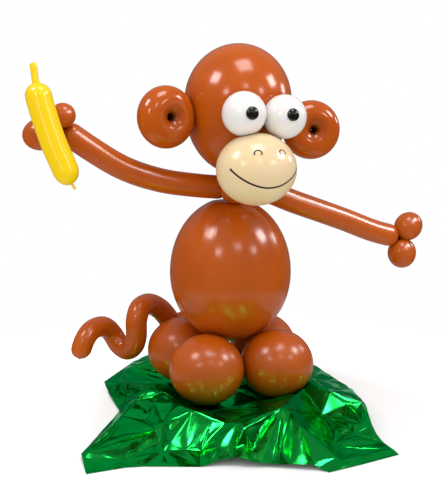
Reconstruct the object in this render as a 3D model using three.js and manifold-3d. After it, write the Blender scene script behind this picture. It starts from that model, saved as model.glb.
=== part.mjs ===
// A monkey twisted from balloons, holding a yellow banana, on a crumpled sheet of green foil.
// Millimetres, +Z up, floor at z = 0. The monkey faces -Y.
// The origin is on the floor, at the centre of the four base balloons.
// Left and right are the monkey's own, so its right hand, with the banana, is at -X.
import * as THREE from 'three';
import { mergeVertices } from 'three/addons/utils/BufferGeometryUtils.js';
import Module from 'manifold-3d';

const wasm = await Module();
wasm.setup();

const { Vector2, Vector3, CatmullRomCurve3 } = THREE;
const at = (x, y, z) => new Vector3(x, y, z);

// Driving dimensions
const CLEARANCE = 0.3; // between two balloons that press on each other
const TUBE_RADIUS = 24; // an inflated modelling balloon
const TAIL_TIP_RADIUS = 21.5; // the tail's balloon is tighter towards its tip
const TWIST_RADIUS = 5; // the twisted neck between two bubbles
const RUBBER_ROUNDING = 1.2; // how softly a pressed balloon turns into its flat
const FOIL_THICKNESS = 2;
const FOIL_FLAT_RADIUS = 42; // under the middle of a base balloon the foil lies on the floor
const FOIL_RISE = 0.6; // the steepest that it climbs from there
const BASE_HEIGHT = 72; // of the centres of the base balloons
const NECK_HEIGHT = 427; // where head, body and arms are tied together
const PUPIL_HEIGHT = 7;

// Round balloons. Each is a ball drawn out along its axis: across is its radius,
// ahead and behind are its reach along the axis to either side of its heart.
const body = { heart: at(3, 0, 252), axis: at(0, 0, 1), across: 125.5, ahead: 155, behind: 145 };
const head = { heart: at(7.5, -28, 600), axis: at(6, -28, 172).normalize(), across: 106.5, ahead: 113, behind: 143 };
const muzzle = { heart: at(-4.7, -152, 473.9), axis: at(1, 0, 0), across: 67.8, ahead: 77.1, behind: 77.1 };
const eyeRight = { heart: at(-28.2, -147, 576.4), axis: at(0, 0, 1), across: 41.4, ahead: 41.4, behind: 41.4 };
const eyeLeft = { heart: at(54.3, -147, 570.8), axis: at(0, 0, 1), across: 41.4, ahead: 41.4, behind: 41.4 };
const neckBubble = { heart: at(-3, -35, 425), axis: at(0, 0, 1), across: 28, ahead: 28, behind: 28 };

// The four base balloons sit a little squashed, two and two, and splay apart at the back.
const baseBall = (x, y, across) => ({
  heart: at(x, y, BASE_HEIGHT),
  axis: at(0, 0, 1),
  across,
  ahead: 0.94 * across,
  behind: BASE_HEIGHT - FOIL_THICKNESS,
});
const baseFrontRight = baseBall(-78, -77, 75);
const baseFrontLeft = baseBall(71.5, -87, 74.5);
const baseBackRight = baseBall(-78, 80, 74);
const baseBackLeft = baseBall(103, 58, 72);

// The hands: two bubbles each, pinched off the end of the arm at one twist.
const twistRight = at(-338.5, 0, 549);
const thumbRight = { heart: at(-338.5, -22, 573.5), axis: at(0, 0, 1), across: 23, ahead: 23, behind: 23 };
const palmRight = { heart: at(-374, 4, 539), axis: at(1, 0, 0.2).normalize(), across: 30.5, ahead: 37, behind: 37 };
const twistLeft = at(373, -50, 312);
const thumbLeft = { heart: at(397.6, -53.4, 335), axis: at(0.7, 0, 0.7).normalize(), across: 29.5, ahead: 32, behind: 32 };
const palmLeft = { heart: at(384.8, -51.7, 277), axis: at(0, 0, 1), across: 30.5, ahead: 33, behind: 33 };

// The ears are doughnut balloons. Each is turned a little from facing straight ahead.
const EAR_RING = 30.5; // from the middle of the ear to the middle of its tube
const EAR_TUBE = 29;
const earRight = { heart: at(-148, -49, 570), turn: THREE.MathUtils.degToRad(14) };
const earLeft = { heart: at(160, -49, 544), turn: THREE.MathUtils.degToRad(-10) };

// Materials
const rubber = (color, roughness) => new THREE.MeshStandardMaterial({ color, roughness, metalness: 0 });
const brownRubber = rubber(0xb4561f, 0.22);
const creamRubber = rubber(0xe8cb98, 0.3);
const whiteRubber = rubber(0xf2efec, 0.28);
const blackRubber = rubber(0x0d0a0a, 0.15);
const yellowRubber = rubber(0xfad705, 0.25);
const greenFoil = new THREE.MeshStandardMaterial({ color: 0x0c9a41, roughness: 0.25, metalness: 0.9 });

const monkey = new THREE.Group();

function add(name, geometry, material) {
  const mesh = new THREE.Mesh(geometry, material);
  mesh.name = name;
  monkey.add(mesh);
}

// One skin from a geometry whose seams and poles repeat points: equal points become one,
// and the triangles that this leaves without an area are dropped.
function weld(geometry) {
  geometry.deleteAttribute('normal');
  geometry.deleteAttribute('uv');
  const welded = mergeVertices(geometry, 0.001);
  const corners = welded.index.array;
  const kept = [];
  for (let i = 0; i < corners.length; i += 3) {
    const [a, b, c] = [corners[i], corners[i + 1], corners[i + 2]];
    if (a !== b && b !== c && c !== a) kept.push(a, b, c);
  }
  welded.setIndex(kept);
  return welded;
}

// How far a round balloon's skin is from its heart in a direction.
function reach(balloon, direction) {
  const along = direction.dot(balloon.axis);
  const semi = along > 0 ? balloon.ahead : balloon.behind;
  return 1 / Math.sqrt((along / semi) ** 2 + (1 - along ** 2) / balloon.across ** 2);
}

// The flat between two balloons that press on each other: square to the line between
// their hearts, where their two skins would cross. Its normal points from the first.
function flatBetween(heartA, radiusA, heartB, radiusB) {
  const normal = heartB.clone().sub(heartA);
  const apart = normal.length();
  normal.normalize();
  const fromA = (apart ** 2 + radiusA ** 2 - radiusB ** 2) / (2 * apart);
  const middle = heartA.clone().addScaledVector(normal, fromA);
  return { normal, middle };
}

function flatBetweenRound(a, b) {
  const direction = b.heart.clone().sub(a.heart).normalize();
  const back = direction.clone().negate();
  return flatBetween(a.heart, reach(a, direction), b.heart, reach(b, back));
}

const turned = (flat) => ({ normal: flat.normal.clone().negate(), middle: flat.middle });

// The smaller of two lengths, rounded off where they are nearly equal, and never more.
function softMin(a, b) {
  const least = Math.min(a, b);
  const excess = Math.abs(a - b) / RUBBER_ROUNDING;
  return least - RUBBER_ROUNDING * Math.log1p(Math.exp(-excess));
}

// Presses a skin against flats. Every point keeps its direction from its own heart
// and is drawn in until it lies half a clearance behind each flat.
function press(geometry, heartOf, flats) {
  const position = geometry.attributes.position;
  const point = new Vector3();
  for (let i = 0; i < position.count; i += 1) {
    point.fromBufferAttribute(position, i);
    const heart = heartOf(point, i);
    const direction = point.clone().sub(heart);
    let length = direction.length();
    direction.normalize();
    let room = Infinity;
    for (const { normal, middle } of flats) {
      const along = direction.dot(normal);
      const depth = middle.clone().sub(heart).dot(normal) - CLEARANCE / 2;
      if (along > 0.02) room = Math.min(room, depth / along);
    }
    if (room < Infinity) length = softMin(length, room);
    point.copy(heart).addScaledVector(direction, length);
    position.setXYZ(i, point.x, point.y, point.z);
  }
  return geometry;
}

// A round balloon: half an ellipse turned about its axis, pressed against its neighbours.
function roundBalloon(balloon, columns, rows, flats = []) {
  const profile = [];
  for (let row = 0; row <= rows; row += 1) {
    const angle = (Math.PI * row) / rows;
    const height = -Math.cos(angle);
    const semi = height > 0 ? balloon.ahead : balloon.behind;
    profile.push(new Vector2(row % rows === 0 ? 0 : balloon.across * Math.sin(angle), height * semi));
  }
  const geometry = weld(new THREE.LatheGeometry(profile, columns));
  const upright = new THREE.Quaternion().setFromUnitVectors(at(0, 1, 0), balloon.axis);
  geometry.applyQuaternion(upright);
  geometry.translate(balloon.heart.x, balloon.heart.y, balloon.heart.z);
  return press(geometry, () => balloon.heart, flats);
}

// The outline of a long balloon from tip to tip: round ends, and an even taper between.
function tubeOutline(length, radius, steps, farRadius = radius) {
  const capSteps = 4;
  const cap = [];
  for (let i = 0; i < capSteps; i += 1) {
    const angle = (Math.PI / 2) * (i / capSteps);
    cap.push(new Vector2(Math.sin(angle), 1 - Math.cos(angle)));
  }
  const outline = cap.map((p) => new Vector2(p.x * radius, p.y * radius));
  for (let i = 0; i <= steps; i += 1) {
    const share = i / steps;
    const along = THREE.MathUtils.lerp(radius, length - farRadius, share);
    outline.push(new Vector2(THREE.MathUtils.lerp(radius, farRadius, share), along));
  }
  for (const p of cap.reverse()) outline.push(new Vector2(p.x * farRadius, length - p.y * farRadius));
  return outline;
}

// A long balloon: its outline turned about a straight axis, which is then laid along a curve.
// The side vector never lies along the curve. It keeps the section from turning.
function longBalloon(curve, outline, columns, side, flats = []) {
  const length = curve.getLength();
  const geometry = weld(new THREE.LatheGeometry(outline, columns));
  const position = geometry.attributes.position;
  const hearts = [];
  for (let i = 0; i < position.count; i += 1) {
    const along = THREE.MathUtils.clamp(position.getY(i) / length, 0, 1);
    const spinePoint = curve.getPointAt(along);
    const tangent = curve.getTangentAt(along);
    const across = new Vector3().crossVectors(tangent, side).normalize();
    const over = new Vector3().crossVectors(across, tangent);
    const point = spinePoint.clone();
    point.addScaledVector(across, position.getX(i));
    point.addScaledVector(over, position.getZ(i));
    const inset = TUBE_RADIUS / length;
    hearts.push(curve.getPointAt(THREE.MathUtils.clamp(along, inset, 1 - inset)));
    position.setXYZ(i, point.x, point.y, point.z);
  }
  return press(geometry, (point, i) => hearts[i], flats);
}

const nearestOnCurve = (curve, target) => {
  let nearest = curve.getPointAt(0);
  for (let i = 1; i <= 200; i += 1) {
    const candidate = curve.getPointAt(i / 200);
    if (candidate.distanceTo(target) < nearest.distanceTo(target)) nearest = candidate;
  }
  return nearest;
};

// Joins closed skins into one solid.
function join(geometries) {
  const solids = geometries.map((geometry) => {
    const vertProperties = new Float32Array(geometry.attributes.position.array);
    const triVerts = new Uint32Array(geometry.index.array);
    return new wasm.Manifold(new wasm.Mesh({ numProp: 3, vertProperties, triVerts }));
  });
  const joined = solids.reduce((whole, next) => whole.add(next));
  const mesh = joined.getMesh();
  const geometry = new THREE.BufferGeometry();
  geometry.setAttribute('position', new THREE.BufferAttribute(mesh.vertProperties, 3));
  geometry.setIndex(Array.from(mesh.triVerts));
  return geometry;
}

// The twisted neck of rubber that leads from a twist into a bubble.
function neckInto(bubble, place) {
  const direction = bubble.heart.clone().sub(place);
  const length = 0.7 * direction.length();
  direction.normalize();
  const geometry = weld(new THREE.CapsuleGeometry(TWIST_RADIUS, length, 2, 6));
  geometry.applyQuaternion(new THREE.Quaternion().setFromUnitVectors(at(0, 1, 0), direction));
  const middle = place.clone().addScaledVector(direction, length / 2);
  geometry.translate(middle.x, middle.y, middle.z);
  return geometry;
}

// The spines of the arms, from the neck out to the twist of the hand.
const armRightSpine = new CatmullRomCurve3([
  at(-2, 0, NECK_HEIGHT),
  at(-72, 0, 434),
  at(-147, 0, 446.5),
  at(-220, 0, 472),
  at(-285, 0, 511),
  twistRight,
]);
const armLeftSpine = new CatmullRomCurve3([
  at(2, 0, NECK_HEIGHT - 2),
  at(69, -9, 421),
  at(138, -18.5, 395),
  at(245, -33, 356),
  at(319, -43, 327),
  twistLeft,
]);

// The spine of the tail: a corkscrew of one and a half turns that leans away from the base.
// Before it comes a short root bubble, tied in between the base balloons.
const tailSpine = new CatmullRomCurve3([
  at(-64, 177, 94),
  at(-79.5, 172, 118),
  at(-90, 168, 132),
  at(-102, 164, 145),
  at(-132, 146, 162.5),
  at(-159, 123, 159),
  at(-170, 112, 136),
  at(-171, 112, 102),
  at(-175.5, 121, 79),
  at(-186, 138, 67),
  at(-199.5, 155, 76),
  at(-208.5, 164, 93.5),
  at(-221, 160, 110),
  at(-240, 144, 122),
  at(-267, 123, 120),
  at(-283, 112, 105),
  at(-292, 108, 85),
  at(-295, 108, 66.5),
]);
const tailTwist = tailSpine.getPoint(0);
const tailRootSpine = new CatmullRomCurve3([tailTwist, at(-44, 163, 111), at(0, 135, 97), at(4, 113, 88)]);

// The flats on a round balloon that gives way to a long one lying against it.
function flatsAgainst(balloon, curve) {
  const flats = [];
  const near = nearestOnCurve(curve, balloon.heart);
  for (let i = 0; i <= 60; i += 1) {
    const spinePoint = curve.getPointAt(i / 60);
    if (spinePoint.distanceTo(near) > 3 * TUBE_RADIUS) continue;
    const normal = spinePoint.clone().sub(balloon.heart).normalize();
    const middle = spinePoint.clone().addScaledVector(normal, -TUBE_RADIUS - CLEARANCE / 2);
    flats.push({ normal, middle });
  }
  return flats;
}

// Where the pieces at the neck press on each other
const armsMeet = { normal: at(1, 0, 0), middle: at(0, 0, NECK_HEIGHT) };
const bubbleOnBody = flatBetweenRound(neckBubble, body);
const besideArms = (balloon) => [...flatsAgainst(balloon, armRightSpine), ...flatsAgainst(balloon, armLeftSpine)];

// Body: the largest balloon, tied at its top, sitting on the four base balloons
const baseBalls = {
  base_ball_front_right: baseFrontRight,
  base_ball_front_left: baseFrontLeft,
  base_ball_back_right: baseBackRight,
  base_ball_back_left: baseBackLeft,
};
const bodyFlats = Object.values(baseBalls).map((ball) => flatBetweenRound(body, ball));
bodyFlats.push(turned(bubbleOnBody), ...besideArms(body));
add('body', roundBalloon(body, 24, 16, bodyFlats), brownRubber);

// Base: four balloons tied in a cluster, each with a small flat where it stands on the foil
const floorFlat = { normal: at(0, 0, -1), middle: at(0, 0, FOIL_THICKNESS + CLEARANCE / 2) };
for (const [name, ball] of Object.entries(baseBalls)) {
  const others = Object.values(baseBalls).filter((other) => other !== ball);
  const flats = others.map((other) => flatBetweenRound(ball, other));
  flats.push(flatBetweenRound(ball, body), floorFlat, ...flatsAgainst(ball, tailRootSpine));
  add(name, roundBalloon(ball, 20, 12, flats), brownRubber);
}

// Head: tied to the neck below, with muzzle, eyes and ears stuck to it
const earReach = { axis: at(0, 0, 1), across: EAR_RING + EAR_TUBE, ahead: EAR_RING + EAR_TUBE, behind: EAR_RING + EAR_TUBE };
const earBall = (ear) => ({ ...earReach, heart: ear.heart });
const headFlats = [muzzle, eyeRight, eyeLeft, earBall(earRight), earBall(earLeft)];
add('head', roundBalloon(head, 24, 14, [
  ...headFlats.map((neighbour) => flatBetweenRound(head, neighbour)),
  ...besideArms(head),
]), brownRubber);

// Muzzle: a cream balloon lying across the face
add('muzzle', roundBalloon(muzzle, 20, 12, [
  flatBetweenRound(muzzle, head),
  flatBetweenRound(muzzle, eyeRight),
  flatBetweenRound(muzzle, eyeLeft),
]), creamRubber);

// Eyes: two white balloons side by side above the muzzle
add('eye_right', roundBalloon(eyeRight, 16, 12, [
  flatBetweenRound(eyeRight, head),
  flatBetweenRound(eyeRight, muzzle),
  flatBetweenRound(eyeRight, eyeLeft),
]), whiteRubber);
add('eye_left', roundBalloon(eyeLeft, 16, 12, [
  flatBetweenRound(eyeLeft, head),
  flatBetweenRound(eyeLeft, muzzle),
  flatBetweenRound(eyeLeft, eyeRight),
]), whiteRubber);

// Pupils: black domes whose hollow backs follow the eyes
function pupil(eye, radius, facing) {
  const seat = eye.across + 2 * CLEARANCE;
  const edge = Math.asin(radius / seat);
  const dome = [];
  const back = [];
  for (let i = 0; i <= 4; i += 1) {
    const angle = (edge * i) / 4;
    const lift = PUPIL_HEIGHT * Math.sqrt(1 - (i / 4) ** 2);
    back.push(new Vector2(i === 0 ? 0 : seat * Math.sin(angle), seat * Math.cos(angle)));
    if (i < 4) dome.push(new Vector2(i === 0 ? 0 : seat * Math.sin(angle), seat * Math.cos(angle) + lift));
  }
  const geometry = weld(new THREE.LatheGeometry([...back, ...dome.reverse()], 10));
  geometry.applyQuaternion(new THREE.Quaternion().setFromUnitVectors(at(0, 1, 0), facing.normalize()));
  geometry.translate(eye.heart.x, eye.heart.y, eye.heart.z);
  return geometry;
}
add('pupil_right', pupil(eyeRight, 12, at(-0.02, -1, 0.02)), blackRubber);
add('pupil_left', pupil(eyeLeft, 11.5, at(-0.05, -1, 0.09)), blackRubber);

// Ears: a tube bent round into a ring, whose middle closes to a deep dimple at front and back
function earBalloon(ear, flats) {
  const profile = [];
  const rows = 14;
  const throat = 0.06;
  for (let row = 0; row <= rows; row += 1) {
    const angle = -Math.PI * (1 - throat) + (2 * Math.PI * (1 - throat) * row) / rows;
    const radius = EAR_RING + EAR_TUBE * Math.cos(angle);
    profile.push(new Vector2(row % rows === 0 ? 0 : radius, EAR_TUBE * Math.sin(angle)));
  }
  const geometry = weld(new THREE.LatheGeometry(profile, 18));
  geometry.rotateZ(ear.turn);
  geometry.translate(ear.heart.x, ear.heart.y, ear.heart.z);
  const facing = at(0, 1, 0).applyAxisAngle(at(0, 0, 1), ear.turn);
  const ringHeart = (point) => {
    const outward = point.clone().sub(ear.heart);
    outward.addScaledVector(facing, -outward.dot(facing)).setLength(EAR_RING);
    return ear.heart.clone().add(outward);
  };
  return press(geometry, ringHeart, flats);
}
add('ear_right', earBalloon(earRight, [turned(flatBetweenRound(head, earBall(earRight)))]), brownRubber);
add('ear_left', earBalloon(earLeft, [turned(flatBetweenRound(head, earBall(earLeft)))]), brownRubber);

// The banana's spine, from the tip of its stem down to its knot
const bananaSpine = new CatmullRomCurve3([
  at(-394.5, -50, 667),
  at(-390.5, -50, 630),
  at(-385, -50, 600.5),
  at(-376, -50, 567),
  at(-363, -50, 525.5),
  at(-350, -50, 493),
  at(-332.5, -50, 451),
  at(-325, -50, 438),
]);
const BANANA_RADIUS = 24;
const BANANA_STEM_RADIUS = 6.5;
const BANANA_STEM_LENGTH = 36;
const BANANA_KNOT_LENGTH = 12;

// Arms: one modelling balloon each, twisted off into the two bubbles of the hand.
// The right one also ends in the bubble that locks the neck.
function armTube(curve, flats) {
  return longBalloon(curve, tubeOutline(curve.getLength(), TUBE_RADIUS, 7), 12, at(0, 0, 1), flats);
}
function flatsAmong(tip, bubble, other) {
  const armEnd = { heart: tip, axis: at(0, 0, 1), across: TUBE_RADIUS, ahead: TUBE_RADIUS, behind: TUBE_RADIUS };
  return [flatBetweenRound(bubble, other), flatBetweenRound(bubble, armEnd)];
}
const rightArmEnd = armRightSpine.getPointAt(1 - TUBE_RADIUS / armRightSpine.getLength());
const leftArmEnd = armLeftSpine.getPointAt(1 - TUBE_RADIUS / armLeftSpine.getLength());
const thumbRightFlats = flatsAmong(rightArmEnd, thumbRight, palmRight);
const palmRightFlats = flatsAmong(rightArmEnd, palmRight, thumbRight);
const thumbLeftFlats = flatsAmong(leftArmEnd, thumbLeft, palmLeft);
const palmLeftFlats = flatsAmong(leftArmEnd, palmLeft, thumbLeft);

add('right_arm', join([
  armTube(armRightSpine, [armsMeet, turned(thumbRightFlats[1]), turned(palmRightFlats[1])]),
  roundBalloon(thumbRight, 12, 7, [...thumbRightFlats, ...flatsAgainst(thumbRight, bananaSpine)]),
  roundBalloon(palmRight, 12, 7, [...palmRightFlats, ...flatsAgainst(palmRight, bananaSpine)]),
  roundBalloon(neckBubble, 12, 7, [bubbleOnBody, ...besideArms(neckBubble)]),
  neckInto(thumbRight, twistRight),
  neckInto(palmRight, twistRight),
  neckInto(neckBubble, at(-8, -6, NECK_HEIGHT)),
]), brownRubber);

add('left_arm', join([
  armTube(armLeftSpine, [turned(armsMeet), turned(thumbLeftFlats[1]), turned(palmLeftFlats[1])]),
  roundBalloon(thumbLeft, 12, 7, thumbLeftFlats),
  roundBalloon(palmLeft, 12, 7, palmLeftFlats),
  neckInto(thumbLeft, twistLeft),
  neckInto(palmLeft, twistLeft),
]), brownRubber);

// Banana: a yellow modelling balloon with a thin stem above and its knot below
function bananaOutline(length) {
  const outline = [new Vector2(0, 0)];
  outline.push(new Vector2(BANANA_STEM_RADIUS * 0.8, 1.5));
  outline.push(new Vector2(BANANA_STEM_RADIUS, 5));
  outline.push(new Vector2(BANANA_STEM_RADIUS * 0.9, BANANA_STEM_LENGTH - 4));
  const bodyLength = length - BANANA_STEM_LENGTH - BANANA_KNOT_LENGTH;
  const steps = 14;
  for (let i = 1; i < steps; i += 1) {
    const along = 0.5 - 0.5 * Math.cos((Math.PI * i) / steps);
    const swelling = along < 0.5 ? 2.6 : 2.1;
    const fullness = Math.min(1, Math.sin(Math.PI * along) * swelling);
    const radius = BANANA_RADIUS * Math.sqrt(1 - (1 - fullness) ** 2);
    outline.push(new Vector2(Math.max(radius, BANANA_STEM_RADIUS), BANANA_STEM_LENGTH + bodyLength * along));
  }
  outline.push(new Vector2(4, length - BANANA_KNOT_LENGTH));
  outline.push(new Vector2(5.5, length - 7));
  outline.push(new Vector2(4, length - 2));
  outline.push(new Vector2(0, length));
  return outline;
}
add('banana', longBalloon(
  bananaSpine,
  bananaOutline(bananaSpine.getLength()),
  14,
  at(0, 1, 0),
), yellowRubber);

// Tail: the corkscrew and its root bubble, with the twist between them
const tailKnot = weld(new THREE.SphereGeometry(TWIST_RADIUS, 8, 6));
tailKnot.translate(tailTwist.x, tailTwist.y, tailTwist.z);
add('tail', join([
  longBalloon(tailSpine, tubeOutline(tailSpine.getLength(), TUBE_RADIUS, 24, TAIL_TIP_RADIUS), 10, at(0.3, 1, 0)),
  longBalloon(tailRootSpine, tubeOutline(tailRootSpine.getLength(), TUBE_RADIUS, 5), 10, at(0, 0, 1)),
  tailKnot,
]), brownRubber);

// Foil: a sheet of green metallic foil, crumpled round the base.
// Its rim is a run of corners: x, y and how far the rim stands off the floor there.
const FOIL_RIM = [
  [-373, -318, 0], [-368, -255, 8], [-231, -86, 26], [-253, -58, 0], [-250, 46, 0], [-240, 134, 0],
  [-144, 259, 4], [-92, 305, 0], [40, 290, 10], [150, 262, 0], [222, 170, 8], [236, 69, 3],
  [227, -43, 10], [211, -153, 20], [181, -248, 26], [161, -310, 10], [148, -353, 5], [141, -437, 2],
  [-2, -454, 0], [-19, -437, 10], [-27, -419, 5], [-82, -398, 5], [-99, -394, 8], [-129, -381, 15],
  [-157, -371, 12], [-192, -355, 0], [-277, -323, 0], [-304, -319, 3],
];
// Its creases run from one point to another: x, y, z of both ends.
// From a crease the foil falls away on both sides, by a slope towards the base and one away.
const FOIL_CREASES = [
  { from: [-231, -86, 28], to: [-170, -152, 38], inner: 0.6, outer: 0.2 },
  { from: [-170, -152, 38], to: [-151, -206, 40], inner: 0.5, outer: 0.2 },
  { from: [-151, -206, 40], to: [-129, -246, 30], inner: 0.5, outer: 0.25 },
  { from: [-129, -246, 30], to: [-95, -284, 38], inner: 0.5, outer: 0.25 },
  { from: [-79, -279, 40], to: [2, -258, 45], inner: 0.5, outer: 0.25 },
  { from: [2, -258, 45], to: [15, -274, 42], inner: 0.6, outer: 0.3 },
  { from: [15, -274, 42], to: [-1, -341, 40], inner: 0.6, outer: 0.4 },
  { from: [-1, -341, 40], to: [32, -442, 10], inner: 0.6, outer: 0.5 },
  { from: [-95, -284, 38], to: [-134, -378, 15], inner: 0.6, outer: 0.6 },
  { from: [-151, -206, 40], to: [-202, -313, 12], inner: 0.5, outer: 0.5 },
  { from: [2, -258, 45], to: [-82, -398, 6], inner: 0.5, outer: 0.5 },
  { from: [-231, -86, 28], to: [-368, -255, 8], inner: 0.3, outer: 0.4 },
  { from: [139, -189, 38], to: [159, -243, 35], inner: 0.8, outer: 0.5 },
  { from: [159, -243, 35], to: [181, -248, 28], inner: 0.5, outer: 0.4 },
  { from: [151, -84, 28], to: [139, -189, 38], inner: 0.8, outer: 0.35 },
  { from: [-172, -15, 30], to: [-205, 60, 18], inner: 0.6, outer: 0.4 },
  { from: [-150, 170, 26], to: [-60, 215, 32], inner: 0.5, outer: 0.35 },
  { from: [-60, 215, 32], to: [70, 200, 28], inner: 0.5, outer: 0.35 },
  { from: [70, 200, 28], to: [165, 110, 34], inner: 0.5, outer: 0.4 },
];

// The middle of the flat underside's fan of triangles, off the origin so that none ends there
const FOIL_BOTTOM_MIDDLE = [60, -30, 0];

const creaseFrom = new Vector2();
const creaseTo = new Vector2();
const creaseFoot = new Vector2();

// The height of the foil under a crease, at one place on the floor.
function creaseHeight({ from, to, inner, outer }, place) {
  creaseFrom.set(from[0], from[1]);
  creaseTo.set(to[0], to[1]);
  const run = creaseTo.clone().sub(creaseFrom);
  const share = THREE.MathUtils.clamp(place.clone().sub(creaseFrom).dot(run) / run.lengthSq(), 0, 1);
  creaseFoot.copy(creaseFrom).addScaledVector(run, share);
  const slope = place.length() < creaseFoot.length() ? inner : outer;
  return THREE.MathUtils.lerp(from[2], to[2], share) - slope * place.distanceTo(creaseFoot);
}

// The foil's height: the highest crease, but clear of the base balloons' undersides.
function foilHeight(place) {
  let height = Math.max(0, ...FOIL_CREASES.map((crease) => creaseHeight(crease, place)));
  for (const ball of Object.values(baseBalls)) {
    const away = Math.hypot(place.x - ball.heart.x, place.y - ball.heart.y);
    height = Math.min(height, FOIL_RISE * Math.max(0, away - FOIL_FLAT_RADIUS));
  }
  return height;
}

// Where a ray from the origin crosses the rim, and how far the rim stands up there.
function foilRim(angle) {
  const ray = new Vector2(Math.cos(angle), Math.sin(angle));
  for (let i = 0; i < FOIL_RIM.length; i += 1) {
    const [ax, ay, az] = FOIL_RIM[i];
    const [bx, by, bz] = FOIL_RIM[(i + 1) % FOIL_RIM.length];
    const span = ray.x * (by - ay) - ray.y * (bx - ax);
    const share = (ray.y * ax - ray.x * ay) / span;
    const distance = (ax * (by - ay) - ay * (bx - ax)) / span;
    if (share >= 0 && share <= 1 && distance > 0) return { distance, lift: az + (bz - az) * share };
  }
  throw new Error('The rim of the foil has a gap.');
}

function foilSheet() {
  const angles = FOIL_RIM.map(([x, y]) => Math.atan2(y, x)).sort((a, b) => a - b);
  const between = angles.flatMap((angle, i) => {
    const next = i + 1 < angles.length ? angles[i + 1] : angles[0] + 2 * Math.PI;
    const parts = Math.max(1, Math.round((next - angle) / 0.15));
    return Array.from({ length: parts }, (_, part) => angle + ((next - angle) * part) / parts);
  });
  const shares = [0.3, 0.38, 0.46, 0.54, 0.63, 0.72, 0.81, 0.9, 1];
  const points = [0, 0, FOIL_THICKNESS];
  for (const share of shares) {
    for (const angle of between) {
      const { distance, lift } = foilRim(angle);
      const place = new Vector2(Math.cos(angle), Math.sin(angle)).multiplyScalar(distance * share);
      const height = share === 1 ? lift : foilHeight(place);
      points.push(place.x, place.y, height + FOIL_THICKNESS);
    }
  }
  for (const angle of between) {
    const { distance } = foilRim(angle);
    points.push(Math.cos(angle) * distance, Math.sin(angle) * distance, 0);
  }
  points.push(...FOIL_BOTTOM_MIDDLE);
  const count = between.length;
  const last = points.length / 3 - 1;
  const triangles = [];
  for (let i = 0; i < count; i += 1) {
    const next = (i + 1) % count;
    triangles.push(0, 1 + i, 1 + next);
    for (let ring = 0; ring < shares.length; ring += 1) {
      const a = 1 + ring * count + i;
      const b = 1 + ring * count + next;
      triangles.push(a, a + count, b + count, a, b + count, b);
    }
    triangles.push(last, 1 + shares.length * count + next, 1 + shares.length * count + i);
  }
  const geometry = new THREE.BufferGeometry();
  geometry.setAttribute('position', new THREE.Float32BufferAttribute(points, 3));
  geometry.setIndex(triangles);
  return geometry;
}
add('foil_sheet', foilSheet(), greenFoil);

export default monkey;
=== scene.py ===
import math

import bpy
import numpy as np
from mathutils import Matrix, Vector
from mathutils.geometry import delaunay_2d_cdt


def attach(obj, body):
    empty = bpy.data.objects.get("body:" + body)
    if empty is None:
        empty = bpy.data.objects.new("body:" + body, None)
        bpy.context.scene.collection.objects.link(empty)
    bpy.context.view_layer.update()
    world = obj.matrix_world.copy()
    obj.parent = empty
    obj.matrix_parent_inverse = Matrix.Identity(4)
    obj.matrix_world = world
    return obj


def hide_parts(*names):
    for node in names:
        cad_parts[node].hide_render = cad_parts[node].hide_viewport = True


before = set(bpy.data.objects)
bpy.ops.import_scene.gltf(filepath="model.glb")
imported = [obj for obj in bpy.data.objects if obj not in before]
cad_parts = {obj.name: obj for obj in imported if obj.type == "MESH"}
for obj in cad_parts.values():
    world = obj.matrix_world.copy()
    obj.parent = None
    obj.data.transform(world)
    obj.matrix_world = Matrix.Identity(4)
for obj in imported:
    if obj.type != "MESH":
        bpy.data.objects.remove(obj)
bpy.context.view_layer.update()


# The camera stands in front and to the monkey's right, level with its eyes, 1.7 m away, and looks
# slightly down, as in the photograph.
CAMERA_PLACE = (-0.6218, -1.5823, 0.577)
CAMERA_AZIMUTH = math.radians(-21)
CAMERA_DIP = math.radians(9.33)
SENSOR_WIDTH = 36.0
FOCAL_LENGTH = 59.87

camera = bpy.data.objects.new("camera", bpy.data.cameras.new("camera"))
bpy.context.scene.collection.objects.link(camera)
camera.location = CAMERA_PLACE
camera.rotation_euler = (math.pi / 2 - CAMERA_DIP, 0, CAMERA_AZIMUTH)
camera.data.sensor_width = SENSOR_WIDTH
camera.data.lens = FOCAL_LENGTH
bpy.context.scene.camera = camera


# The body: the largest balloon, of brown latex, a little taller than wide. It is tied at its top
# to the arms and the head, and sits in the hollow between the four base balloons.
GAP = 0.0003  # between two balloons that press on each other
ROUNDING = 0.0008  # how softly a skin bends over into a flat
EDGE_ON = 0.02  # a flat that is more edge-on than this doesn't press on a point
BASE_HEIGHT = 0.072  # of the base balloons' middles above the floor


def unit(vector):
    """The vector divided by its length."""
    vector = np.asarray(vector, float)
    return vector / np.linalg.norm(vector, axis=-1, keepdims=True)


class RoundBalloon:
    """A ball drawn out along its axis. Across is its radius, ahead and behind are its reach along
    the axis to either side of its heart, the same unless both are given."""

    def __init__(self, heart, axis, across, ahead, behind=None):
        self.heart = np.array(heart, float)
        self.axis = unit(axis)
        self.across = across
        self.ahead = ahead
        self.behind = ahead if behind is None else behind

    def reach(self, direction):
        """How far the skin is from the heart: the radius of an ellipse in that direction."""
        along = direction @ self.axis
        semi = self.ahead if along > 0 else self.behind
        return 1 / math.sqrt((along / semi) ** 2 + (1 - along ** 2) / self.across ** 2)


def sphere(heart, radius):
    """A balloon that is as wide as it is long."""
    return RoundBalloon(heart, (0, 0, 1), across=radius, ahead=radius)


def base_ball(x, y, across):
    """A base balloon, slightly flattened above and below, since it carries the body."""
    return RoundBalloon((x, y, BASE_HEIGHT), (0, 0, 1), across, ahead=0.94 * across, behind=0.070)


body = RoundBalloon((0.003, 0, 0.252), (0, 0, 1), across=0.1255, ahead=0.155, behind=0.145)
base_balls = {
    "base_ball_front_right": base_ball(-0.078, -0.077, 0.075),
    "base_ball_front_left": base_ball(0.0715, -0.087, 0.0745),
    "base_ball_back_right": base_ball(-0.078, 0.080, 0.074),
    "base_ball_back_left": base_ball(0.103, 0.058, 0.072),
}


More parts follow.
